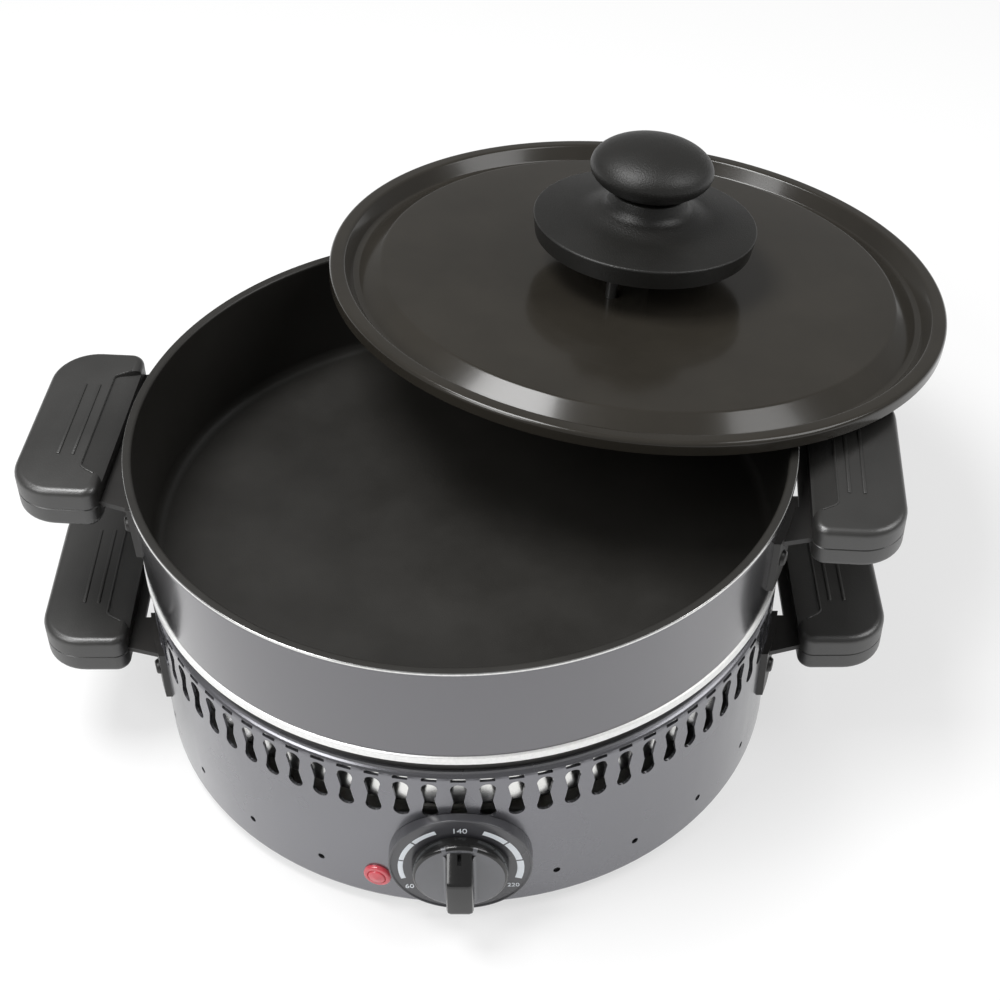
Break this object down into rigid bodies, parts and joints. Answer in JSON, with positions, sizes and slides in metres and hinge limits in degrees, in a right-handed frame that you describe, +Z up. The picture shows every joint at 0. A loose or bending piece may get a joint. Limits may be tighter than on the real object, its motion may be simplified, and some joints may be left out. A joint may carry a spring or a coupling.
{
  "type": "electric chestnut roaster",
  "caption": "Round electric roaster: vented drum base with dial, lift-off pan with side grips, and a loose lid with a mushroom knob lying across the pan rim.",
  "frame": {"origin": "on the floor plane under the feet, on the axis of the drum", "axes": "+Z up, the dial faces -Y, the grips lie along X"},
  "size_m": [0.406, 0.409, 0.2142],
  "materials": {
    "drum_metal": "metallic grey enamel, satin",
    "zinc_steel": "zinc plated",
    "screw_steel": "plated",
    "bright_steel": "bright, slightly wavy",
    "black_steel": "satin black",
    "element_sheath": "dull, heat tinted",
    "foot_rubber": "matt",
    "black_rubber": "matt",
    "white_ceramic": "matt",
    "white_plastic": "matt",
    "brass": "plain",
    "copper": "plain copper",
    "gloss_black": "glossy moulded",
    "grip_plastic": "satin moulded phenolic",
    "knob_plastic": "finely textured phenolic",
    "red_lens": "clear red",
    "brown_insulation": "matt",
    "blue_insulation": "matt",
    "green_insulation": "matt",
    "pan_coating": "metallic grey outside, black non-stick inside",
    "lid_enamel": "black enamel, semi gloss"
  },
  "bodies": {
    "base": {"base_shell": "drum_metal", "base_plate": "zinc_steel", "foot_front_left": "foot_rubber", "foot_front_right": "foot_rubber", "foot_rear_left": "foot_rubber", "foot_rear_right": "foot_rubber", "foot_screws": "screw_steel", "base_plate_screws": "screw_steel", "support_ring": "black_steel", "ring_screws": "screw_steel", "reflector_dish": "bright_steel", "heating_element": "element_sheath", "element_clips": "zinc_steel", "element_bushes": "white_ceramic", "element_terminals": "brass", "thermostat_body": "white_ceramic", "thermostat_bracket": "zinc_steel", "thermostat_screws": "screw_steel", "dial_bezel": "gloss_black", "lamp_lens": "red_lens", "lamp_body": "white_plastic", "cord_gland": "black_rubber", "terminal_block": "white_plastic", "sensor_bulb": "copper", "bulb_clip": "zinc_steel", "thermal_fuse": "white_ceramic", "fuse_clip": "zinc_steel", "earth_stud": "brass", "wire_live": "brown_insulation", "wire_switched": "black_rubber", "wire_fuse": "black_rubber", "wire_neutral": "blue_insulation", "wire_earth": "green_insulation", "wire_lamp": "white_plastic", "base_bracket_left": "black_steel", "base_bracket_right": "black_steel", "base_grip_upper_left": "grip_plastic", "base_grip_upper_right": "grip_plastic", "base_grip_lower_left": "grip_plastic", "base_grip_lower_right": "grip_plastic", "base_handle_screws": "screw_steel", "base_rivets": "screw_steel"},
    "control_dial": {"thermostat_shaft": "screw_steel", "knob_spring": "screw_steel", "control_knob": "gloss_black"},
    "pan": {"pan_shell": "pan_coating", "pan_bracket_left": "black_steel", "pan_bracket_right": "black_steel", "pan_grip_upper_left": "grip_plastic", "pan_grip_upper_right": "grip_plastic", "pan_grip_lower_left": "grip_plastic", "pan_grip_lower_right": "grip_plastic", "pan_handle_screws": "screw_steel", "pan_rivets": "screw_steel"},
    "lid": {"lid_shell": "lid_enamel", "knob_shield": "knob_plastic", "lid_knob": "knob_plastic", "knob_spacer": "zinc_steel", "lid_knob_screw": "screw_steel", "shield_pins": "knob_plastic"}
  },
  "joints": [
    {"name": "dial_turn", "type": "hinge", "parent": "base", "child": "control_dial", "pos_m": [0, -0.1373, 0.037], "axis": [0, -1, 0], "range_deg": [-120, 120]},
    {"name": "pan_lift", "type": "slide", "parent": "base", "child": "pan", "axis": [0, 0, 1], "range_m": [0, 0.12]},
    {"name": "lid_lift", "type": "slide", "parent": "pan", "child": "lid", "axis": [0, 0, 1], "range_m": [0, 0.15]}
  ]
}
